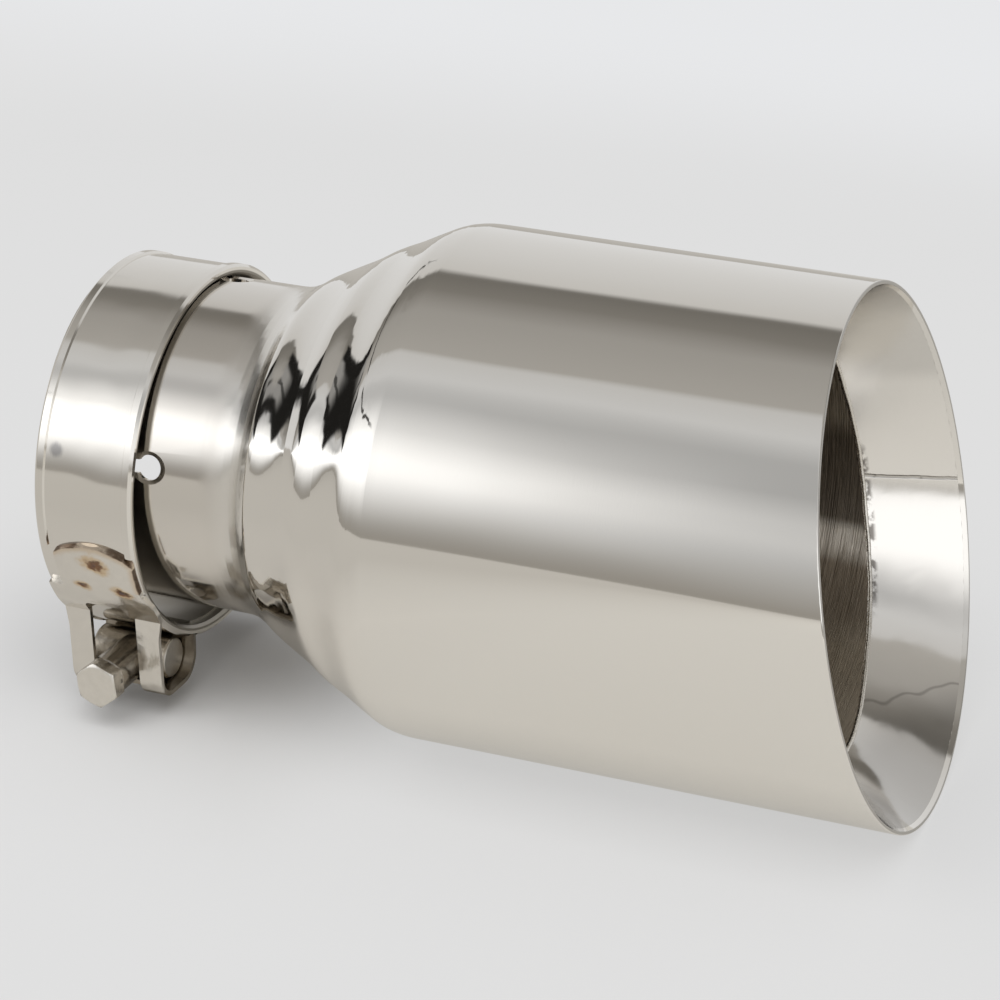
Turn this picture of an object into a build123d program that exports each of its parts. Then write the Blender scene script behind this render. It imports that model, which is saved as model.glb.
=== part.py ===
"""Clamp-on exhaust tip, double walled, slant cut.

Millimetres. The tube axis is X, with the inlet end at x = 0 and the outlet toward +X. +Z is up as the
tip lies on its barrel. Angles round the tube are measured in the YZ plane from +Y toward +Z.
"""
import math
import os

from build123d import *

# Outer shell: slotted neck, spun flare and barrel, one tube of stainless sheet.
shell_wall = 1.2
neck_r = 33.0
neck_end_x = 35.5
barrel_r = 50.8
# Stations of the flare, as x and the share of the rise from neck to barrel. It was spun in three passes, which
# left two shallow waves.
flare_stations = [
    (40.0, 0.0253),
    (44.0, 0.118),
    (47.5, 0.2444),
    (51.5, 0.3624),
    (56.0, 0.4916),
    (60.0, 0.6264),
    (64.5, 0.7444),
    (69.0, 0.8736),
    (72.5, 0.9635),
    (75.5, 0.9955),
]
barrel_start_x = 79.0

# Slanted outlet: the plane meets the axis at rim_x, and the long side of the tube points along rim_turn.
rim_x = 164.85
rim_slant = 11.3
rim_turn = 252.0
rim_edge_round = 0.35

# Inner bevel ring, welded to the rim, and the inner sleeve behind it.
rim_lip = 0.7
bevel_land = 2.5
bevel_drop = 7.6
bevel_edge_x = 148.15
bevel_edge_slant = 12.8
bevel_edge_turn = 240.0
sleeve_wall = 1.2
sleeve_flare_gap = 0.15

# Four slots let the neck close on the pipe. Each ends in a round hole with a countersunk mouth.
slot_count = 4
slot_first_angle = 77.8
slot_width = 2.6
slot_hole_r = 2.5
slot_hole_x = 24.05
slot_mouth_r = 3.7
slot_mouth_depth = 0.45

# Clamp band: a ring with rolled edges that hangs loose on the neck.
band_slack = 2.6
band_rest_gap = 0.2
band_x0 = 1.6
band_width = 21.0
band_thickness = 1.0
roll_height_in = 0.8
roll_height_out = 0.4
roll_width = 2.2
roll_round = 0.55
bridge_press = 1.5
bridge_thickness = 0.7
bridge_from = 252.0
bridge_to = 297.0
bridge_step = 1.3
band_gap_from = 284.0
band_gap_to = 289.0

# Tongue inside the band, across the gap.
tongue_thickness = 0.7
tongue_from = 277.0
tongue_to = 295.0
tongue_width = 14.0

# Ears: one strip each, spot welded to the band and bent into a loop round a barrel.
ear_thickness = 1.0
ear_x0 = 1.7
ear_wing_x = 23.9
ear_wing_to = 6.0
ear_taper_to = 13.0
ear_foot_x0 = 2.6
ear_foot_x1 = 22.6
ear_saddle_x0 = 4.9
ear_saddle_x1 = 22.2
ear_saddle_peak_x = 12.6
ear_saddle_angle = 190.8
ear_saddle_drop0 = 2.2
ear_saddle_drop1 = 2.9
ear_saddle_corner = 1.2
ear_saddle_view = 205.0
ear_notch_over_bolt = 20.5
ear_leg_reach = 9.6
ear_leg_lean = 4.0
ear_flat_lead = 2.5
ear_foot_round = 4.2
window_x0 = 7.6
window_x1 = 17.7
window_over_bolt = 15.6
window_inside = 4.0
window_round = 1.2
ear_bolt_hole_r = 3.1

# Cross barrels, the hexagon bolt and the collar under its head.
cross_barrel_r = 4.3
cross_barrel_length = 16.4
cross_barrel_y = 18.0
cross_barrel_chamfer = 0.5
bolt_under_band = 0.1
bolt_r = 2.5
bolt_clear = 0.2
thread_clear = 0.03
bolt_length = 62.0
bolt_point = 0.7
head_flats = 8.4
head_height = 3.4
head_turn = 8.0
collar_length = 14.0
head_crown = 0.35
head_face_r = 4.05
collar_r = 4.2
collar_slack = 0.03

# Sizes that follow from these.
shell_bore_r = barrel_r - shell_wall
bevel_rim_r = barrel_r - rim_lip
bevel_edge_r = shell_bore_r - bevel_drop
bevel_slope = (bevel_rim_r - bevel_edge_r) / (rim_x - bevel_edge_x)
roll_inner_r = neck_r + band_slack
band_inner_r = roll_inner_r + roll_height_in
band_outer_r = band_inner_r + band_thickness
roll_outer_r = band_outer_r + roll_height_out
bridge_outer_r = band_outer_r - bridge_press
bridge_inner_r = bridge_outer_r - bridge_thickness
band_z = band_rest_gap - band_slack
bolt_z = band_z - bridge_outer_r - bolt_under_band - bolt_r
ear_leg_y = cross_barrel_y + ear_leg_reach
ear_notch_z = bolt_z + ear_notch_over_bolt
window_top_z = bolt_z + window_over_bolt
window_foot_y = cross_barrel_y + window_inside
head_seat_y = cross_barrel_y + collar_length


def polar(radius, angle, lift=0.0):
    """(y, z) at an angle round the tube axis, or round an axis lifted by lift."""
    t = math.radians(angle)
    return radius * math.cos(t), lift + radius * math.sin(t)


def slanted_plane(x, slant, turn):
    """The plane square to a cut through the axis at x, its X axis up the slope of the cut."""
    k = math.tan(math.radians(slant))
    c = math.cos(math.radians(turn))
    s = math.sin(math.radians(turn))
    return Plane(origin=(x, 0, 0), x_dir=(k, c, s), z_dir=(1, -k * c, -k * s))


def slanted_ring(x, slant, turn, radius):
    """The ellipse in which a slanted plane cuts a cylinder round the tube axis."""
    plane = slanted_plane(x, slant, turn)
    return plane * Ellipse(radius / math.cos(math.radians(slant)), radius)


def beyond(x, slant, turn):
    """A block that takes away all that lies past a slanted plane."""
    plane = slanted_plane(x, slant, turn)
    return plane * Box(4 * barrel_r, 4 * barrel_r, rim_x, align=(Align.CENTER, Align.CENTER, Align.MIN))


def ring_part(profile_points, start, sweep, lift):
    """Revolves an (x, radius) outline from a start angle round an axis lifted by lift."""
    outline = Polyline(*[(x, r, 0) for x, r in profile_points], close=True)
    face = make_face(outline)
    ring = revolve(face, Axis.X, sweep)
    return Pos(0, 0, lift) * (Rot(start, 0, 0) * ring)


def tube(x0, x1, outer_r, inner_r, lift=0.0):
    """A plain tube along X."""
    length = x1 - x0
    body = Cylinder(outer_r, length, align=(Align.CENTER, Align.CENTER, Align.MIN))
    hole = Cylinder(inner_r, length, align=(Align.CENTER, Align.CENTER, Align.MIN))
    return Pos(x0, 0, lift) * (Rot(0, 90, 0) * (body - hole))


def two_arcs(start, start_slope, end, end_slope):
    """Two arcs, tangent to each other, from a point and slope to the next, both given as (x, radius)."""
    p = Vector(*start)
    q = Vector(*end)
    t = Vector(1, start_slope).normalized()
    u = Vector(1, end_slope).normalized()
    way = q - p
    both = t + u
    bend = 2 * (1 - t.dot(u))
    if bend < 1e-9:
        return [Line(p, q)]
    reach = (math.sqrt(way.dot(both) ** 2 + bend * way.dot(way)) - way.dot(both)) / bend
    middle = (p + q + (t - u) * reach) / 2
    first = TangentArc(p, middle, tangent=t)
    return [first, TangentArc(middle, q, tangent=first % 1)]


# Outer shell. The flare runs through its stations as tangent arcs, and the wall is even.
rise = barrel_r - neck_r
line = [(neck_end_x, neck_r)] + [(x, neck_r + share * rise) for x, share in flare_stations]
line.append((barrel_start_x, barrel_r))
slopes = [0.0]
for before, after in zip(line, line[2:]):
    slopes.append((after[1] - before[1]) / (after[0] - before[0]))
slopes.append(0.0)
inner_line = []
for (x, r), slope in zip(line, slopes):
    n = math.hypot(1.0, slope)
    inner_line.append((x + shell_wall * slope / n, r - shell_wall / n))
rough_end_x = rim_x + 0.3 * barrel_r
shell_edges = [Line((0, neck_r), line[0])]
for i in range(len(line) - 1):
    shell_edges += two_arcs(line[i], slopes[i], line[i + 1], slopes[i + 1])
shell_edges += [
    Line(line[-1], (rough_end_x, barrel_r)),
    Line((rough_end_x, barrel_r), (rough_end_x, barrel_r - shell_wall)),
    Line((rough_end_x, barrel_r - shell_wall), inner_line[-1]),
    Line(inner_line[0], (0, neck_r - shell_wall)),
    Line((0, neck_r - shell_wall), (0, neck_r)),
]
for i in range(len(line) - 1):
    shell_edges += two_arcs(inner_line[i], slopes[i], inner_line[i + 1], slopes[i + 1])
outer_shell = revolve(make_face(Wire(shell_edges)), Axis.X, 360)
outer_shell -= beyond(rim_x, rim_slant, rim_turn)
rim_edge = outer_shell.edges().group_by(Axis.X)[-1].sort_by(lambda e: e.length)[-1]
outer_shell = fillet(rim_edge, rim_edge_round)
for i in range(slot_count):
    angle = slot_first_angle + i * 360.0 / slot_count
    y, z = polar(neck_r, angle)
    place = Plane(origin=(slot_hole_x, y, z), x_dir=(1, 0, 0), z_dir=(0, *polar(1.0, angle)))
    hole = Cylinder(slot_hole_r, 6 * shell_wall)
    slot = Pos(-slot_hole_x / 2, 0, 0) * Box(slot_hole_x, slot_width, 6 * shell_wall)
    mouth = Pos(0, 0, -slot_mouth_depth) * Cone(
        slot_hole_r,
        slot_mouth_r + (slot_mouth_r - slot_hole_r),
        2 * slot_mouth_depth,
        align=(Align.CENTER, Align.CENTER, Align.MIN),
    )
    outer_shell -= place * hole
    outer_shell -= place * slot
    outer_shell -= place * mouth

# Bevel ring inside the rim, and the inner sleeve. The ring's cone runs on through the shell's inner edge and
# leaves a thin lip.
bevel_body = loft(
    [
        slanted_ring(rim_x, rim_slant, rim_turn, shell_bore_r),
        slanted_ring(rim_x - bevel_land, rim_slant, rim_turn, shell_bore_r),
        slanted_ring(bevel_edge_x, bevel_edge_slant, bevel_edge_turn, bevel_edge_r + sleeve_wall),
    ],
    ruled=True,
)
bevel_hollow = loft(
    [
        slanted_ring(rim_x + shell_wall, rim_slant, rim_turn, bevel_rim_r + shell_wall * bevel_slope),
        slanted_ring(rim_x, rim_slant, rim_turn, bevel_rim_r),
        slanted_ring(bevel_edge_x, bevel_edge_slant, bevel_edge_turn, bevel_edge_r),
        slanted_ring(bevel_edge_x - sleeve_wall, bevel_edge_slant, bevel_edge_turn, bevel_edge_r),
    ],
    ruled=True,
)
inner_bevel = bevel_body - bevel_hollow
outer_shell -= bevel_hollow
# The sleeve runs back until it meets the flare.
sleeve_reach = bevel_edge_r + sleeve_wall + sleeve_flare_gap
for (x0, r0), (x1, r1) in zip(inner_line, inner_line[1:]):
    if r0 <= sleeve_reach < r1:
        sleeve_back_x = x0 + (x1 - x0) * (sleeve_reach - r0) / (r1 - r0)
inner_sleeve = tube(sleeve_back_x, rim_x, bevel_edge_r + sleeve_wall, bevel_edge_r)
inner_sleeve -= beyond(bevel_edge_x, bevel_edge_slant, bevel_edge_turn)

# Clamp band, in stretches round its own axis. The rolled edges are pressed flat where the ears cross them,
# and the middle is pressed in below, where the bolt passes.
band_x1 = band_x0 + band_width
band_mid_x = (band_x0 + band_x1) / 2
mid_r = band_outer_r + ear_thickness / 2
leg_y = -(ear_leg_y - ear_thickness / 2)
foot_r = cross_barrel_r + ear_thickness / 2
arm_y = -(cross_barrel_y - foot_r)
notch_angle = 180.0 - math.degrees(math.asin((ear_notch_z - band_z) / mid_r))
foot_z = bolt_z - foot_r
lean_y = math.sin(math.radians(ear_leg_lean))
lean_z = math.cos(math.radians(ear_leg_lean))
leg_foot = (leg_y, foot_z + ear_foot_round * (1 - lean_y))
below = leg_foot[1] - band_z
along = leg_y * lean_y - below * lean_z
leg_run = along - math.sqrt(along ** 2 - leg_y ** 2 - below ** 2 + mid_r ** 2)
leg_top = (leg_y - leg_run * lean_y, leg_foot[1] + leg_run * lean_z)
bend_angle = 180.0 + math.degrees(math.atan2(band_z - leg_top[1], -leg_top[0]))
arm_angle = 270.0 - math.degrees(math.asin(-arm_y / band_outer_r))
legs_from = ear_saddle_angle + ear_flat_lead
legs_to = bend_angle + 3.0
arm_from = arm_angle - 2.0


def band_profile(edge_r, middle_outer_r, middle_inner_r):
    """The (x, radius) outline of the band: a thin middle between two rolled edges."""
    return [
        (band_x0 + roll_round, roll_inner_r),
        (band_x0, roll_inner_r + roll_round),
        (band_x0, roll_outer_r - roll_round),
        (band_x0 + roll_round, edge_r),
        (band_x0 + roll_width - roll_round / 2, edge_r),
        (band_x0 + roll_width, middle_outer_r),
        (band_x1 - roll_width, middle_outer_r),
        (band_x1 - roll_width + roll_round / 2, edge_r),
        (band_x1 - roll_round, edge_r),
        (band_x1, roll_outer_r - roll_round),
        (band_x1, roll_inner_r + roll_round),
        (band_x1 - roll_round, roll_inner_r),
        (band_x1 - roll_width, roll_inner_r),
        (band_x1 - roll_width, middle_inner_r),
        (band_x0 + roll_width, middle_inner_r),
        (band_x0 + roll_width, roll_inner_r),
    ]


full = band_profile(roll_outer_r, band_outer_r, band_inner_r)
flat = band_profile(band_outer_r, band_outer_r, band_inner_r)
step = band_profile(roll_outer_r, band_outer_r, bridge_inner_r)
bridge = band_profile(roll_outer_r, bridge_outer_r, bridge_inner_r)
flat_bridge = band_profile(band_outer_r, bridge_outer_r, bridge_inner_r)
far_arm_to = 180.0 - arm_from + 360.0
far_legs_from = 180.0 - legs_to + 360.0
far_legs_to = 180.0 - legs_from + 360.0
stretches = [
    (legs_from, legs_to, flat),
    (legs_to, arm_from, full),
    (arm_from, bridge_from, flat),
    (bridge_from, bridge_from + bridge_step, step),
    (bridge_from + bridge_step, band_gap_from, bridge),
    (band_gap_to, far_arm_to, flat_bridge),
    (far_arm_to, bridge_to - bridge_step, bridge),
    (bridge_to - bridge_step, bridge_to, step),
    (bridge_to, far_legs_from, full),
    (far_legs_from, far_legs_to, flat),
    (far_legs_to, legs_from + 360.0, full),
]
clamp_band = Part()
for start, stop, outline in stretches:
    clamp_band += ring_part(outline, start, stop - start, band_z)

gap_tongue = ring_part(
    [
        (band_mid_x - tongue_width / 2, bridge_inner_r - tongue_thickness),
        (band_mid_x + tongue_width / 2, bridge_inner_r - tongue_thickness),
        (band_mid_x + tongue_width / 2, bridge_inner_r),
        (band_mid_x - tongue_width / 2, bridge_inner_r),
    ],
    tongue_from,
    tongue_to - tongue_from,
    band_z,
)

# Ears. The strip's middle line, from the saddle down the leg, under the barrel and up to the band.
foot_turn = ear_foot_round * math.cos(math.radians(ear_leg_lean))
foot_start = (leg_y + foot_turn, foot_z)
saddle_start = polar(mid_r, ear_saddle_angle, band_z)
saddle_middle = polar(mid_r, (ear_saddle_angle + bend_angle) / 2, band_z)
saddle_end = polar(mid_r, bend_angle, band_z)
strip_line = Wire(
    [
        ThreePointArc(saddle_start, saddle_middle, saddle_end),
        Line(saddle_end, leg_foot),
        RadiusArc(leg_foot, foot_start, -ear_foot_round),
        Line(foot_start, (-cross_barrel_y, foot_z)),
        RadiusArc((-cross_barrel_y, foot_z), (arm_y, bolt_z), -foot_r),
        Line((arm_y, bolt_z), (arm_y, band_z - mid_r * math.cos(math.radians(270.0 - arm_angle)) + ear_thickness)),
    ]
)
strip_plane = Plane(origin=(ear_x0, 0, 0), x_dir=(0, 1, 0), z_dir=(1, 0, 0))
strip = extrude(strip_plane * trace(strip_line, ear_thickness), ear_wing_x - ear_x0)
strip -= tube(band_x0 - roll_width, band_x1 + roll_width, band_outer_r, band_outer_r / 2, band_z)

# The saddle is narrower than the legs and steps out to them at a notch on the inlet side. Toward the outlet the
# strip spreads past the band's edge where it turns down, and narrows again to the foot.
view_normal = polar(1.0, ear_saddle_view)
view_plane = Plane(origin=(band_mid_x, 0, band_z), x_dir=(1, 0, 0), z_dir=(0, *view_normal))
saddle_top = mid_r * math.sin(math.radians(ear_saddle_view - ear_saddle_angle))
notch_top = mid_r * math.sin(math.radians(ear_saddle_view - notch_angle))
left = ear_saddle_x0 - band_mid_x
right = ear_saddle_x1 - band_mid_x
left_corner = (left, saddle_top - ear_saddle_drop0)
right_corner = (right, saddle_top - ear_saddle_drop1)
peak = (ear_saddle_peak_x - band_mid_x, saddle_top)
saddle_outline = make_face(
    [
        Line((left, notch_top - 1), left_corner),
        ThreePointArc(left_corner, peak, right_corner),
        Line(right_corner, (right, notch_top - 1)),
        Line((right, notch_top - 1), (left, notch_top - 1)),
    ]
)
top_corners = saddle_outline.vertices().sort_by(Axis.Y)[-2:]
saddle_outline = fillet(top_corners, ear_saddle_corner)
legs_points = [
    (ear_x0, notch_top),
    (band_x1, notch_top),
    (ear_wing_x, notch_top - ear_wing_to / 2),
    (ear_wing_x, notch_top - ear_wing_to),
    (ear_foot_x1, notch_top - ear_taper_to),
    (ear_foot_x1, notch_top - 2 * band_outer_r),
    (ear_foot_x0, notch_top - 2 * band_outer_r),
    (ear_foot_x0, notch_top - ear_taper_to),
    (ear_x0, notch_top - ear_wing_to),
]
legs_outline = make_face(Polyline(*[(x - band_mid_x, h) for x, h in legs_points], close=True))
strip &= extrude(view_plane * (saddle_outline + legs_outline), 2 * band_outer_r, both=True)

# The window in the leg, open round the foot, lets the collar through to the barrel.
window_height = window_over_bolt + 4 * cross_barrel_r
window_depth = 2 * (ear_leg_y - window_foot_y)
window_mid_x = (window_x0 + window_x1) / 2
window = Pos(window_mid_x, -(window_foot_y + window_depth / 2), window_top_z - window_height / 2) * Box(
    window_x1 - window_x0, window_depth, window_height)
window = fillet(window.edges().filter_by(Axis.Y).group_by(Axis.Z)[-1], window_round)
arm_hole = Pos(band_mid_x, arm_y, bolt_z) * (Rot(90, 0, 0) * Cylinder(ear_bolt_hole_r, 4 * ear_thickness))
near_ear = strip - window - arm_hole
far_ear = mirror(near_ear, about=Plane.XZ)

# Barrels, lying across in the feet of the loops. The near one has a plain hole, the far one a thread.
barrel_blank = Rot(0, 90, 0) * Cylinder(cross_barrel_r, cross_barrel_length)
barrel_blank = chamfer(barrel_blank.edges().filter_by(GeomType.CIRCLE), cross_barrel_chamfer)
plain_hole = Rot(90, 0, 0) * Cylinder(bolt_r + bolt_clear, 4 * cross_barrel_r)
thread_hole = Rot(90, 0, 0) * Cylinder(bolt_r + thread_clear, 4 * cross_barrel_r)
near_barrel = Pos(band_mid_x, -cross_barrel_y, bolt_z) * (barrel_blank - plain_hole)
far_barrel = Pos(band_mid_x, cross_barrel_y, bolt_z) * (barrel_blank - thread_hole)

# Collar under the bolt head. Its inner end is hollowed to sit on the near barrel.
bolt_collar = Rot(-90, 0, 0) * Cylinder(
    collar_r, collar_length, align=(Align.CENTER, Align.CENTER, Align.MIN))
bolt_collar = chamfer(bolt_collar.edges().filter_by(GeomType.CIRCLE).sort_by(Axis.Y)[0], cross_barrel_chamfer)
bolt_collar -= Rot(90, 0, 0) * Cylinder(bolt_r + bolt_clear, 4 * collar_length)
bolt_collar = Pos(band_mid_x, -head_seat_y, bolt_z) * bolt_collar
bolt_collar -= Pos(band_mid_x, -cross_barrel_y, bolt_z) * (
    Rot(0, 90, 0) * Cylinder(cross_barrel_r + collar_slack, 2 * cross_barrel_length))

# Hexagon bolt. The corners of the head are turned off to a cone.
head = extrude(RegularPolygon(head_flats / 2, 6, major_radius=False, rotation=30 + head_turn), head_height)
corner_r = head_flats / 2 / math.cos(math.pi / 6)
cone_foot_r = head_face_r + (corner_r - head_face_r) * head_height / head_crown
crown = Cone(cone_foot_r, head_face_r, head_height, align=(Align.CENTER, Align.CENTER, Align.MIN))
shank = Cylinder(bolt_r, bolt_length, align=(Align.CENTER, Align.CENTER, Align.MIN))
shank = chamfer(shank.edges().filter_by(GeomType.CIRCLE).sort_by(Axis.Z)[-1], bolt_point)
clamp_bolt = (head & crown) + Rot(180, 0, 0) * shank
clamp_bolt = Pos(band_mid_x, -head_seat_y, bolt_z) * (Rot(90, 0, 0) * clamp_bolt)

nodes = {
    "outer_shell": outer_shell,
    "inner_bevel": inner_bevel,
    "inner_sleeve": inner_sleeve,
    "clamp_band": clamp_band,
    "gap_tongue": gap_tongue,
    "near_ear": near_ear,
    "far_ear": far_ear,
    "near_barrel": near_barrel,
    "far_barrel": far_barrel,
    "bolt_collar": bolt_collar,
    "clamp_bolt": clamp_bolt,
}
os.makedirs("parts", exist_ok=True)
for name, shape in nodes.items():
    export_step(shape, f"parts/{name}.step")
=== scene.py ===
"""The looks of a clamp-on exhaust tip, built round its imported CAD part. Metres, in the part's own frame."""

import math

import bpy
from mathutils import Matrix, Vector


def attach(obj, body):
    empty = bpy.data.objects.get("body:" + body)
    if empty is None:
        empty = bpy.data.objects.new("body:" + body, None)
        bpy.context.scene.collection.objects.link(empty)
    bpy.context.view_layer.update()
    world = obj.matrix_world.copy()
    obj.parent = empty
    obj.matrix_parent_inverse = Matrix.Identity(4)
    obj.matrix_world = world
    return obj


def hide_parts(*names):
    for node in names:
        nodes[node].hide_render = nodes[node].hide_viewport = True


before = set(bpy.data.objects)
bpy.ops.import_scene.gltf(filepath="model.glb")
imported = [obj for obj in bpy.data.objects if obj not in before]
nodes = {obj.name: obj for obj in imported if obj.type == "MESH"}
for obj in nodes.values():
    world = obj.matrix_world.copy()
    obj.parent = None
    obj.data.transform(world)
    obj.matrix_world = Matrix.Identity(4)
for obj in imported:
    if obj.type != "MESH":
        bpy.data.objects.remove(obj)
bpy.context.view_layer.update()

# Camera, fitted to the photograph: a long lens from the near side, a little above and toward the outlet.
camera_place = (0.34167, -0.60607, 0.29058)
right = Vector((0.92004, 0.39183, 0.00093)).normalized()
ahead = Vector((-0.35765, 0.84074, -0.40651)).normalized()
above = right.cross(ahead)
camera_data = bpy.data.cameras.new("camera")
camera_data.lens = 133.27
camera_data.sensor_width = 36.0
camera_data.clip_end = 50.0
camera = bpy.data.objects.new("camera", camera_data)
bpy.context.collection.objects.link(camera)
camera_turn = Matrix((right, above, -ahead)).transposed().to_4x4()
camera.matrix_world = Matrix.Translation(camera_place) @ camera_turn
bpy.context.scene.camera = camera
bpy.context.scene.view_settings.view_transform = "Standard"


# Studio. A white sheet behind, a dim ceiling, one wide soft light above the camera and the room behind it,
# all in the world, which depends on the direction alone.
class Sock:
    """A shader socket. Operators add Math nodes, and node() adds any other node."""

    def __init__(self, tree, socket=None):
        self.tree = tree
        self.socket = socket

    def node(self, kind, settings=None, inputs=None, out=0):
        new = self.tree.nodes.new(kind)
        for name, value in (settings or {}).items():
            if name == "stops":
                ramp = new.color_ramp
                while len(ramp.elements) > 1:
                    ramp.elements.remove(ramp.elements[-1])
                for i, (place, colour) in enumerate(value):
                    stop = ramp.elements[0] if i == 0 else ramp.elements.new(place)
                    stop.position = place
                    stop.color = (*colour, 1.0)
            else:
                setattr(new, name, value)
        for key, value in (inputs or {}).items():
            put(self.tree, new.inputs[key], value)
        return Sock(self.tree, new.outputs[out]) if len(new.outputs) else None

    def output(self, name):
        """Another output of the node that this socket is on."""
        return Sock(self.tree, self.socket.node.outputs[name])

    def maths(self, operation, *values):
        return self.node("ShaderNodeMath", {"operation": operation}, dict(enumerate(values)))

    def __add__(self, other):
        return self.maths("ADD", self, other)

    def __sub__(self, other):
        return self.maths("SUBTRACT", self, other)

    def __rsub__(self, other):
        return self.maths("SUBTRACT", other, self)

    def __mul__(self, other):
        return self.maths("MULTIPLY", self, other)

    def __truediv__(self, other):
        return self.maths("DIVIDE", self, other)

    def __pow__(self, other):
        return self.maths("POWER", self, other)

    def __abs__(self):
        return self.maths("ABSOLUTE", self)

    __radd__ = __add__
    __rmul__ = __mul__

    def root(self):
        return self.maths("SQRT", self)

    def fade(self, start, end):
        """0 at start and 1 at end, smooth between them."""
        flip = start > end
        low, high = (end, start) if flip else (start, end)
        step = self.node("ShaderNodeMapRange", {"interpolation_type": "SMOOTHSTEP"},
                         {"Value": self, "From Min": low, "From Max": high})
        return 1 - step if flip else step

    def between(self, start, full, full_to, end):
        """1 from full to full_to, with smooth edges that reach 0 at start and at end."""
        return self.fade(start, full) * self.fade(end, full_to)

    def mix(self, first, second):
        """A colour between two others, with this socket as the share of the second."""
        return self.node("ShaderNodeMix", {"data_type": "RGBA"}, {0: self, 6: first, 7: second}, out=2)


def put(tree, socket, value):
    if isinstance(value, Sock):
        tree.links.new(value.socket, socket)
    elif isinstance(value, tuple) and len(value) == 3 and socket.type == "RGBA":
        socket.default_value = (*value, 1.0)
    else:
        socket.default_value = value


def grey(level, warmth=0.0):
    return (level * (1 + warmth), level, level * (1 - 1.6 * warmth))


backdrop_seen = grey(0.745)
room_unseen = grey(0.62)
lamp_strength = 0.97
# Colours by the angle over the tube, in degrees from the back through the zenith to the front.
sky = [
    (-90, grey(0.62)),
    (-25, grey(0.74)),
    (0, grey(0.74)),
    (40, grey(0.63, 0.01)),
    (52, grey(0.58, 0.02)),
    (55, grey(0.16, 0.06)),
    (66, grey(0.20, 0.06)),
    (78, grey(0.33, 0.04)),
    (100, grey(0.38, 0.04)),
    (102, grey(0.55, 0.01)),
    (113, grey(0.60)),
    (124, grey(0.43)),
    (138, grey(0.42)),
    (150, grey(0.59)),
    (157, grey(0.61)),
    (164, grey(0.52)),
    (176, grey(0.38, 0.03)),
    (184, grey(0.30, 0.06)),
    (210, grey(0.24, 0.06)),
]
world = bpy.data.worlds.new("studio")
world.use_nodes = True
world.node_tree.nodes.clear()
w = Sock(world.node_tree)
direction = w.node("ShaderNodeTexCoord").output("Generated")
dx = w.node("ShaderNodeSeparateXYZ", None, {0: direction})
dy = dx.output("Y")
dz = dx.output("Z")
turn = w.maths("FRACT", w.maths("ARCTAN2", dz, dy) / (2 * math.pi) + 0.25)
sky_colour = w.node("ShaderNodeValToRGB", {"stops": [((a + 90) / 360, c) for a, c in sky]}, {0: turn})
lamp_glow = turn.between(0.575, 0.667, 0.667, 0.756) * dx.fade(-0.27, -0.47) * lamp_strength
sky_colour = w.node("ShaderNodeMix", {"data_type": "RGBA", "blend_type": "ADD"},
                    {0: lamp_glow, 6: sky_colour, 7: grey(1.0)}, out=2)
# The dark doorway behind the inlet end, grey inside its frame, and a rail over it.
aside = dy / abs(dx)
behind = dx.fade(-0.45, -0.55)
door = behind * dz.between(0.10, 0.13, 0.41, 0.44) * aside.between(-0.19, -0.16, 0.27, 0.30)
pane = dz.fade(0.24, 0.36) * aside.between(-0.10, -0.05, 0.15, 0.20)
post = aside.between(0.02, 0.03, 0.06, 0.07)
doorway_colour = (pane * (0.75 - 0.6 * post)).mix(grey(0.012, 0.05), grey(0.36, 0.02))
sky_colour = door.mix(sky_colour, doorway_colour)
rail = behind * dz.between(0.575, 0.58, 0.595, 0.60)
sky_colour = rail.mix(sky_colour, grey(0.05, 0.05))
window = dx.fade(0.22, 0.36) * dz.between(-0.02, 0.06, 0.44, 0.80) * dy.fade(-0.25, -0.55)
sky_colour = window.mix(sky_colour, grey(1.12))
path = w.node("ShaderNodeLightPath")
plain = path.output("Is Camera Ray").mix(room_unseen, backdrop_seen)
seen = path.output("Is Glossy Ray").mix(plain, sky_colour)
background = w.node("ShaderNodeBackground", None, {"Color": seen, "Strength": 1.0})
w.node("ShaderNodeOutputWorld", None, {0: background})
bpy.context.scene.world = world

lamp_data = bpy.data.lights.new("soft_lamp", "AREA")
lamp_data.shape = "RECTANGLE"
lamp_data.size = 2.4
lamp_data.size_y = 1.2
lamp_data.energy = 16.0
lamp = bpy.data.objects.new("soft_lamp", lamp_data)
lamp.location = (0.1, -0.9, 1.5)
lamp_aim = Vector((0.1, 0.0, 0.0))
lamp.rotation_euler = (lamp_aim - lamp.location).to_track_quat("-Z", "Y").to_euler()
lamp.visible_glossy = False
lamp.visible_camera = False
bpy.context.collection.objects.link(lamp)


# Floor: a white table under the barrel. It fades into the backdrop, and in the metal it ends at the table's
# front edge. Near the tip it partly glows: painted light that thins the tip's shadow, most of all beside the
# barrel.
# In the metal it is painted dimmer toward the inlet end and lighter toward the front edge.
def new_material(name):
    material = bpy.data.materials.new(name)
    material.use_nodes = True
    material.node_tree.nodes.clear()
    return material, Sock(material.node_tree)


def place_mm(s):
    """x, y and z in millimetres."""
    place = s.node("ShaderNodeTexCoord").output("Object")
    split = s.node("ShaderNodeSeparateXYZ", None, {0: place})
    return split * 1000, split.output("Y") * 1000, split.output("Z") * 1000


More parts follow.
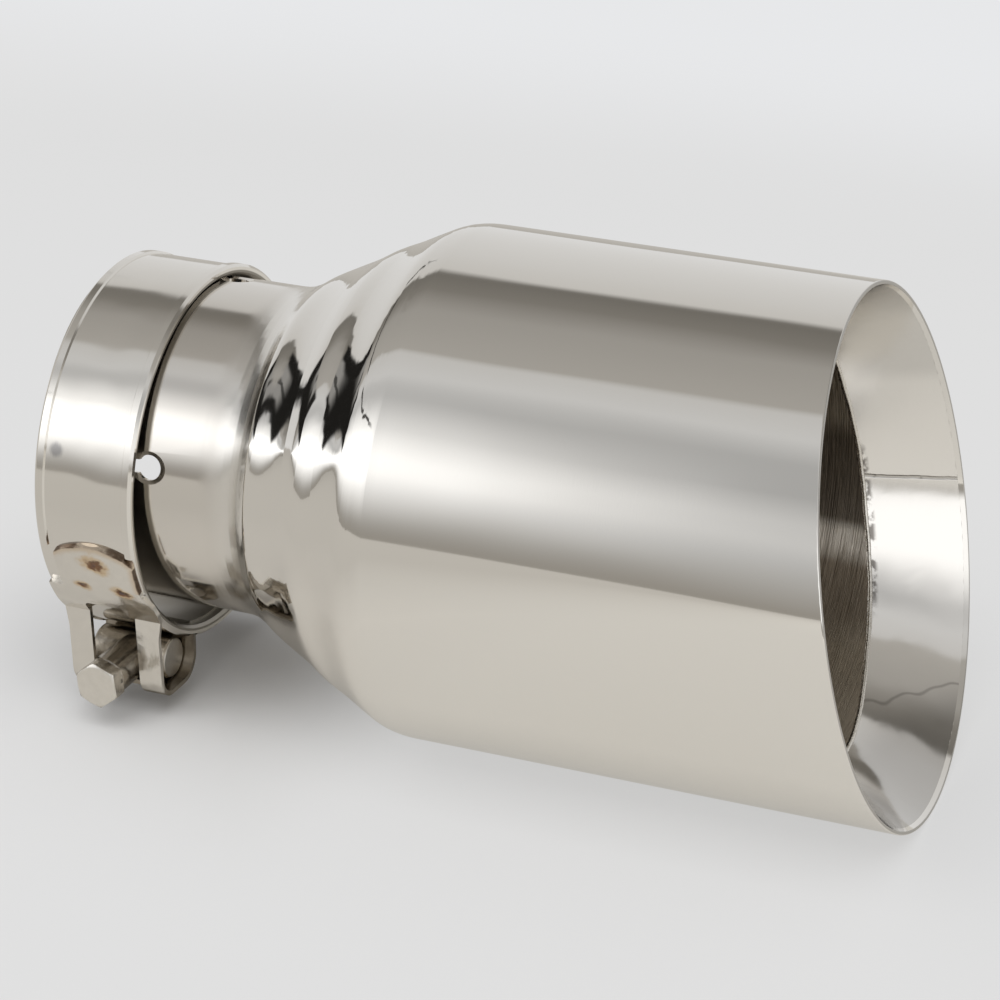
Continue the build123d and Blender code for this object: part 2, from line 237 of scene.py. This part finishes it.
floor_z = -0.0508
floor_reach = 6
tip_middle_x = 87
tip_half_length = 75
table_camera = grey(0.80)
table_bright = (0.76, 0.735, 0.69)
table_dim = (0.60, 0.575, 0.535)
table_far = (0.80, 0.807, 0.82)
glow_bright = (0.625, 0.61, 0.575)
glow_dim = (0.50, 0.48, 0.445)
glow_front = (0.80, 0.775, 0.73)
corners = [(-floor_reach, -floor_reach, floor_z), (floor_reach, -floor_reach, floor_z),
           (floor_reach, floor_reach, floor_z), (-floor_reach, floor_reach, floor_z)]
mesh = bpy.data.meshes.new("floor")
mesh.from_pydata(corners, [], [(0, 1, 2, 3)])
floor = bpy.data.objects.new("floor", mesh)
bpy.context.collection.objects.link(floor)
material, s = new_material("floor")
x, y, z = place_mm(s)
off_side = s.maths("MAXIMUM", abs(x - tip_middle_x) - tip_half_length, 0.0)
off = (off_side * off_side + y * y).root()
lit = x.fade(30, 75)
# Painted light: the share of glow, which thins the tip's shadow near it, most of all beside the barrel.
near = s.maths("MAXIMUM", lit * 0.68, off.fade(10, 110) * 0.78)
far = s.maths("MAXIMUM", near, off.fade(140, 430))
path = s.node("ShaderNodeLightPath")
glossy = path.output("Is Glossy Ray")
in_metal = glossy * y.fade(-640, -690)
# Painted shade and light in the floor seen in the metal: dimmer toward the inlet end, lighter toward the
# front edge.
dim = x.fade(90, -30)
front = y.fade(-280, -620) * (1.0 - dim)
paper_colour = glossy.mix(table_camera, dim.mix(table_bright, table_dim))
paper = s.node("ShaderNodeBsdfDiffuse", None, {"Color": paper_colour})
white = y.fade(290, 460).mix(backdrop_seen, table_far)
white = glossy.mix(white, front.mix(dim.mix(glow_bright, glow_dim), glow_front))
painted_light_and_backdrop = s.node("ShaderNodeEmission", None, {"Color": white, "Strength": 1.0})
share = path.output("Is Camera Ray") * far + glossy * s.maths("MAXIMUM", lit, off.fade(30, 160)) * 0.6
surface = s.node("ShaderNodeMixShader", None, {0: share, 1: paper, 2: painted_light_and_backdrop})
clear = s.node("ShaderNodeBsdfTransparent")
surface = s.node("ShaderNodeMixShader", None, {0: in_metal, 1: surface, 2: clear})
s.node("ShaderNodeOutputMaterial", None, {0: surface})
mesh.materials.append(material)


# Outer shell: one tube of stainless sheet, spun in at the flare and polished to a mirror all over.
# Faint ripples of the spinning, polishing lines and shallow dents break the reflections. The neck is a little
# duller, and the rim's face is ground, not polished.
def steel(s, colour, roughness, height=None, depth=0.0):
    """A metal surface, with an optional bump height, of which 1 stands depth millimetres high."""
    inputs = {"Base Color": colour, "Metallic": 1.0, "Roughness": roughness}
    if height is not None:
        bump = {"Strength": 1.0, "Distance": 0.001 * depth, "Height": height}
        inputs["Normal"] = s.node("ShaderNodeBump", None, bump)
    shader = s.node("ShaderNodeBsdfPrincipled", None, inputs)
    s.node("ShaderNodeOutputMaterial", None, {0: shader})


def noise(s, x, y, z, scale, detail=2.0, roughness=0.5):
    """Noise from about 0 to 1 at a place given in millimetres, scale being blobs a millimetre."""
    place = s.node("ShaderNodeCombineXYZ", None, {0: x, 1: y, 2: z})
    return s.node("ShaderNodeTexNoise", None, {
        "Vector": place, "Scale": scale, "Detail": detail, "Roughness": roughness})


def wear(obj, material):
    """Gives a piece its one material."""
    obj.data.materials.clear()
    obj.data.materials.append(material)


rim_x = 164.85
rim_lean = math.tan(math.radians(11.3))
rim_turn = math.radians(252.0)
ripple_x = 55.5
ripple_pitch = 14
mirror_steel = (0.885, 0.863, 0.823)
neck_steel = (0.82, 0.79, 0.745)
ground_steel = (0.52, 0.505, 0.48)
material, s = new_material("polished_shell")
x, y, z = place_mm(s)
waves = noise(s, x * 0.35, y, z, 0.055, 1.0)
lines = noise(s, x * 6.0, y * 0.6, z * 0.6, 1.0, 3.0)
smudge = noise(s, x, y, z, 0.03, 3.0).fade(0.5, 0.75)
to_rim = rim_x - x + y * (rim_lean * math.cos(rim_turn)) + z * (rim_lean * math.sin(rim_turn))
ground = to_rim.fade(0.14, 0.04)
neck = x.fade(41.0, 36.0)
ripple = s.maths("SINE", (x - ripple_x) * (2 * math.pi / ripple_pitch)) * x.between(42, 47, 70, 75)
crease = x.between(34.0, 38.0, 43.0, 47.0)
colour = ground.mix(neck.mix(mirror_steel, neck_steel), ground_steel)
roughness = 0.045 + 0.05 * smudge * lines + 0.30 * ground + 0.06 * neck + 0.16 * crease
steel(s, colour, roughness, waves + lines * 0.004 + ripple * 0.95, 0.22)
wear(nodes["outer_shell"], material)

# Bevel ring: a cone of the same sheet, rolled and butt welded, then welded to the rim and buffed round.
# The butt weld shows as a fine pitted line across it on the far side. Soot lies along the inner edge.
# Painted shade darkens it toward the top and the bottom, and a thin wavy dark line across the low part is a
# painted reflection.
edge_x = 148.15
edge_lean = math.tan(math.radians(12.8))
edge_turn = math.radians(240.0)
seam_turn = math.radians(5.0)
bevel_steel = (0.93, 0.905, 0.865)
seam_colour = (0.30, 0.28, 0.25)
soot_colour = (0.13, 0.115, 0.10)
reflected_line_colour = (0.16, 0.145, 0.13)
material, s = new_material("polished_bevel")
x, y, z = place_mm(s)
waves = noise(s, x, y, z, 0.045, 2.0)
lines = noise(s, x * 3.0, y * 0.25, z * 0.25, 1.2, 3.0)
soft = z.fade(-22.0, 4.0)
wander = noise(s, x, y, z, 0.25) * 0.5 - 0.25
far_side = y.fade(0, 10)
seam = abs(z * math.cos(seam_turn) + y * math.sin(seam_turn) + wander).fade(0.45, 0.12) * far_side
pits = noise(s, x, y, z, 0.5, 3.0).fade(0.62, 0.72)
# Painted shade: the bevel is darkened toward its top and more toward its bottom, standing in for dark
# reflections there.
painted_shade_by_height = 1.0 - 0.15 * z.fade(16.0, 21.0) - 0.25 * z.fade(32.0, 42.0) - 0.36 * z.fade(-38.0, -44.5)
colour = painted_shade_by_height.mix((0.0, 0.0, 0.0), bevel_steel)
colour = (seam * (0.55 + 0.45 * pits)).mix(colour, seam_colour)
from_weld = x - edge_x - (y * math.cos(edge_turn) + z * math.sin(edge_turn)) * edge_lean
patchy = noise(s, x, y, z, 0.45, 3.0).fade(0.44, 0.58)
burn = from_weld.fade(1.9, 0.9) * patchy * z.between(-30.0, -24.0, 0.0, 4.0)
colour = (burn * 0.85).mix(colour, soot_colour)
# Painted reflection: a thin wavy dark line across the low part on the far side.
painted_reflection_line = abs(z + 39.5 + (noise(s, x, y, z, 0.10, 1.0) - 0.5) * 8.0).fade(0.45, 0.0) * far_side
colour = (painted_reflection_line * 0.4).mix(colour, reflected_line_colour)
steel(s, colour, 0.07 + 0.10 * soft + 0.06 * lines, waves + lines * 0.006 - seam * 0.45, 0.40)
wear(nodes["inner_bevel"], material)

# Inner sleeve: plain tube, brushed round the bore and left dull.
# It is sooty above and browned by heat at the bottom. A narrow light band below the middle is a painted
# highlight, and lighter zones at the very top and at the foot are painted reflections.
soot = ((0.13, 0.11, 0.088), (0.22, 0.19, 0.155))
# Painted highlight colours for the narrow band below the middle.
painted_highlight_band = ((0.60, 0.55, 0.48), (0.85, 0.80, 0.72))
brown = ((0.19, 0.155, 0.118), (0.33, 0.28, 0.22))
# Painted reflections: lighter colours at the very top and at the foot.
painted_top_reflection = (0.42, 0.375, 0.31)
painted_foot_reflection = (0.46, 0.40, 0.32)
material, s = new_material("brushed_sleeve")
x, y, z = place_mm(s)
brush = noise(s, x * 7.0, y * 0.03, z * 0.03, 1.0, 4.0, 0.6).fade(0.3, 0.7)
blotch = noise(s, x, y, z, 0.05, 2.0)
# Height with a little noise, which places the painted bands.
wobbly_height = z + (blotch - 0.5) * 3.0
above_band = wobbly_height.fade(3.0, 9.0).mix(brush.mix(*soot), painted_top_reflection)
below_band = wobbly_height.fade(-28.0, -36.0).mix(brush.mix(*brown), painted_foot_reflection)
colour = wobbly_height.fade(-12.5, -15.5).mix(above_band, brush.mix(*painted_highlight_band))
colour = wobbly_height.fade(-17.5, -21.5).mix(colour, below_band)
steel(s, colour, 0.27 + 0.10 * blotch, brush, 0.03)
wear(nodes["inner_sleeve"], material)

# Weld bead where the bevel's inner edge meets the sleeve, laid by hand from the outlet and left as welded.
# It is about 1 mm wide, with the ripples of the pool, and follows the slanted inner edge.
bead_steps = 720
bead_rows = 8
bead_ring_r = 42.1
edge_r = 42.0
bead_flatness = 0.7
bead_colours = ((0.66, 0.625, 0.57), (0.90, 0.87, 0.81))
points = []
faces = []
for i in range(bead_steps):
    t = 2 * math.pi * i / bead_steps
    cx = edge_x + edge_lean * edge_r * math.cos(t - edge_turn)
    swell = 0.52 + 0.02 * math.sin(t * 131) + 0.02 * math.sin(t * 47 + 1) + 0.03 * math.sin(t * 17 + 2)
    drift = 0.10 * math.sin(t * 9 + 1) + 0.03 * math.sin(t * 29)
    for j in range(bead_rows):
        a = 2 * math.pi * j / bead_rows
        r = bead_ring_r + bead_flatness * swell * math.cos(a)
        points.append((0.001 * (cx + drift + swell * math.sin(a)),
                       0.001 * r * math.cos(t), 0.001 * r * math.sin(t)))
        n = (i + 1) % bead_steps
        k = (j + 1) % bead_rows
        faces.append((i * bead_rows + j, i * bead_rows + k, n * bead_rows + k, n * bead_rows + j))
mesh = bpy.data.meshes.new("sleeve_weld")
mesh.from_pydata(points, [], faces)
mesh.shade_smooth()
sleeve_weld = bpy.data.objects.new("sleeve_weld", mesh)
bpy.context.collection.objects.link(sleeve_weld)
material, s = new_material("weld_metal")
x, y, z = place_mm(s)
scale = noise(s, x, y, z, 0.9, 4.0)
steel(s, scale.mix(*bead_colours), 0.20 + 0.15 * scale, scale, 0.12)
mesh.materials.append(material)
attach(sleeve_weld, "root")

# Clamp band: bright strip with rolled edges, rougher on its inside and painted dark there as shade between
# band and neck, and a small tongue inside it across the gap.
# Two old spot marks are left on it.
band_z = -2.4
band_inside_r = 36.5
band_steel = (0.875, 0.85, 0.805)
band_inside_shade = (0.30, 0.28, 0.245)
mark_colour = (0.26, 0.26, 0.28)
# x, y, z, radius and strength of each mark.
band_marks = ((5.9, -35.6, 9.1, 1.9, 0.62), (21.0, -20.5, 28.8, 0.5, 0.8))
material, s = new_material("polished_band")
x, y, z = place_mm(s)
waves = noise(s, x, y, z, 0.08, 1.0)
lines = noise(s, x * 5.0, y * 0.3, z * 0.3, 1.0, 3.0)
colour = band_steel
for mark_x, mark_y, mark_z, size, strength in band_marks:
    off = ((x - mark_x) ** 2 + (y - mark_y) ** 2 + (z - mark_z) ** 2).root()
    gap = off / size + lines * 0.5 - 0.25
    colour = (gap.fade(1.0, 0.35) * strength).mix(colour, mark_colour)
# Painted shade: the inside of the band is darkened, and it is also rougher.
within = (y * y + (z - band_z) ** 2).root().fade(band_inside_r + 0.25, band_inside_r)
roughness = 0.07 + 0.06 * lines + 0.2 * within
steel(s, within.mix(colour, band_inside_shade), roughness, waves + lines * 0.01, 0.3)
for name in ("clamp_band", "gap_tongue"):
    wear(nodes[name], material)

# Ears: strips bent into loops, spot welded to the band.
# Each spot weld has a shallow dimple, a grey core, a blue-brown ring and a straw halo.
ear_steel = ((0.80, 0.775, 0.73), (0.90, 0.87, 0.815))
# Painted shade colours for the loops' inner faces.
loop_inside_shade = ((0.20, 0.172, 0.135), (0.44, 0.40, 0.34))
halo_colour = (0.74, 0.55, 0.33)
ring_colour = (0.22, 0.11, 0.06)
core_colour = (0.12, 0.10, 0.12)
edge_tint = (0.70, 0.49, 0.27)
edge_burnt = (0.12, 0.075, 0.048)
# x, distance to the side, z and size of each weld.
spot_welds = ((13.7, 36.7, -13.8, 1.5), (9.6, 34.3, -19.7, 0.85), (18.1, 34.1, -20.1, 1.05))
weld_slant = -0.35
saddle_lean = math.radians(25.0)
arch_x = 13.01
arch_height = -6.70
arch_r = 16.00
saddle_end_x = 22.2
off_saddle = 90.0
material, s = new_material("ear_strip")
x, y, z = place_mm(s)
grain = noise(s, x, y, z, 0.6, 4.0)
ragged = noise(s, x, y, z, 0.9, 3.0)
colour = grain.mix(*ear_steel)
dimple = 0.0
side = abs(y)
for spot_x, spot_y, spot_z, size in spot_welds:
    across = x - spot_x - (z - spot_z) * weld_slant
    off = (across * across + ((side - spot_y) ** 2 + (z - spot_z) ** 2) * 1.7).root()
    gap = off / size + ragged * 2.2 - 1.1
    colour = (gap.fade(2.7, 1.2) * 0.8).mix(colour, halo_colour)
    colour = (gap.fade(1.5, 0.7) * 0.92).mix(colour, ring_colour)
    colour = (gap.fade(0.7, 0.0) * 0.8).mix(colour, core_colour)
    dimple = gap.fade(1.5, 0.2) * -4.0 + dimple
# The cut edge is blued along the saddle's arched end and down its outlet side.
height = side * math.sin(saddle_lean) + (z - band_z) * math.cos(saddle_lean)
from_arch = arch_r - ((x - arch_x) ** 2 + (height - arch_height) ** 2).root()
from_arch = from_arch + height.fade(4.0, 3.0) * off_saddle
from_side = saddle_end_x - x + height.fade(5.5, 7.5) * 9.0 + height.fade(-1.0, -2.5) * off_saddle
edge = s.maths("MINIMUM", from_arch, from_side) + ragged * 0.7 - 0.35
colour = (edge.fade(1.7, 0.3) * 0.45).mix(colour, edge_tint)
along = x + ragged * 6 - 3
burnt = edge.fade(0.42, 0.0) * (1.0 - 0.75 * along.between(9.0, 12.0, 15.0, 18.0))
colour = (burnt * 0.93).mix(colour, edge_burnt)
# Painted shade: the inner faces of the loops are darkened, where shade falls between them and the barrels.
colour = side.fade(26.9, 26.3).mix(colour, grain.mix(*loop_inside_shade))
bends = noise(s, x, y, z, 0.16, 1.0)
steel(s, colour, 0.15 + 0.10 * grain, grain + dimple + bends * 16.0, 0.06)
for name in ("near_ear", "far_ear"):
    wear(nodes[name], material)

# Barrels and collar: turned from bar and left plain, with dark streaks along the turned sides.
# The barrels' cut ends are duller and lighter.
bolt_x = 12.1
barrel_half = 7.9
turned_steel = ((0.22, 0.19, 0.15), (0.50, 0.46, 0.40))
end_steel = ((0.46, 0.44, 0.41), (0.60, 0.58, 0.54))
material, s = new_material("plain_steel")
x, y, z = place_mm(s)
grain = noise(s, x, y, z, 0.9, 4.0)
end = abs(x - bolt_x).fade(barrel_half, barrel_half + 0.25)
streak = noise(s, x * 2.0, y * 0.1, z * 2.0, 0.6, 3.0)
colour = end.mix(streak.mix(*turned_steel), grain.mix(*end_steel))
steel(s, colour, 0.16 + 0.12 * grain + 0.15 * end, grain, 0.05)
for name in ("near_barrel", "far_barrel", "bolt_collar"):
    wear(nodes[name], material)

# Clamp bolt: an M5 hexagon bolt, cold headed, with a rolled thread of 0.8 mm pitch from its middle to its
# point. The head's face is slightly dished, and its corners are turned off to a cone.
half_flats = 4.2
head_turn = math.radians(8.0)
seat_y = -32.0
bolt_z = -40.9
crest_r = 2.5
root_r = 2.02
pitch = 0.8
thread_from = 4.0
thread_turns = 33
per_turn = 48
# Along the thread and its radius there, over one pitch.
thread_form = ((0.0, root_r), (0.1, root_r), (0.35, crest_r), (0.45, crest_r), (0.7, root_r), (pitch, root_r))
tip_y = 30.0
tip_r = 1.85
# Height over the seat and the greatest radius there: the washer face, the hexagon, its cone and the dish.
head_form = ((0.0, 4.15), (0.12, 9.0), (3.0, 9.0), (3.02, 4.83), (3.08, 4.72), (3.16, 4.56), (3.25, 4.36),
             (3.34, 4.18), (3.4, 4.0), (3.38, 3.9), (3.34, 3.2), (3.31, 2.2), (3.3, 1.1))
dish_height = 3.3
around = 96
shaded_side_steel = ((0.40, 0.375, 0.335), (0.64, 0.61, 0.56))
face_steel = ((0.80, 0.775, 0.72), (0.92, 0.89, 0.835))
points = []
faces = []


def ring_of(radius_at, level):
    """Adds a closed ring of points and returns its first index."""
    first = len(points)
    for k in range(around):
        a = head_turn + 2 * math.pi * k / around
        r = radius_at(a)
        points.append((r * math.cos(a), level, r * math.sin(a)))
    return first


def join(first, second):
    for k in range(around):
        n = (k + 1) % around
        faces.append((first + k, first + n, second + n, second + k))


def close(first, level):
    """Closes a ring with a fan to a point on the axis."""
    points.append((0.0, level, 0.0))
    faces.extend((first + k, first + (k + 1) % around, len(points) - 1) for k in range(around))


def hexagon(a):
    step = (a - head_turn + math.pi / 6) % (math.pi / 3) - math.pi / 6
    return half_flats / math.cos(step)


last = ring_of(lambda a: crest_r - 0.01, seat_y)
for level, limit in head_form:
    new = ring_of(lambda a: min(hexagon(a), limit), seat_y - level)
    join(last, new)
    last = new
close(last, seat_y - dish_height)
last = ring_of(lambda a: crest_r, seat_y)
new = ring_of(lambda a: crest_r, thread_from + 0.3)
join(last, new)
first = len(points)
for i in range(thread_turns * per_turn + 1):
    a = 2 * math.pi * i / per_turn
    for offset, r in thread_form:
        level = thread_from + pitch * i / per_turn + offset
        r = max(1.0, min(r, tip_r + tip_y - level))
        points.append((r * math.cos(a), min(level, tip_y), r * math.sin(a)))
width = len(thread_form)
for i in range(thread_turns * per_turn):
    for j in range(width - 1):
        k = first + i * width + j
        faces.append((k, k + 1, k + width + 1, k + width))
last = ring_of(lambda a: tip_r + 0.01, tip_y - 0.02)
close(last, tip_y)
mesh = bpy.data.meshes.new("bolt")
placed = [(0.001 * (bolt_x + px), 0.001 * py, 0.001 * (bolt_z + pz)) for px, py, pz in points]
mesh.from_pydata(placed, [], faces)
mesh.validate()
mesh.shade_smooth()
mesh.set_sharp_from_angle(angle=math.radians(28))
bolt = bpy.data.objects.new("bolt", mesh)
bpy.context.collection.objects.link(bolt)
material, s = new_material("bolt_steel")
x, y, z = place_mm(s)
grain = noise(s, x, y, z, 0.7, 4.0)
face = y.fade(seat_y - 3.0, seat_y - 3.25)
# Painted shade: the head's sides and the shank are darker than its face, standing in for the dark reflections
# of the side facets.
colour = face.mix(grain.mix(*shaded_side_steel), grain.mix(*face_steel))
steel(s, colour, 0.13 + 0.10 * grain + 0.12 * face, grain, 0.08)
mesh.materials.append(material)
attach(bolt, "root")
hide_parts("clamp_bolt")
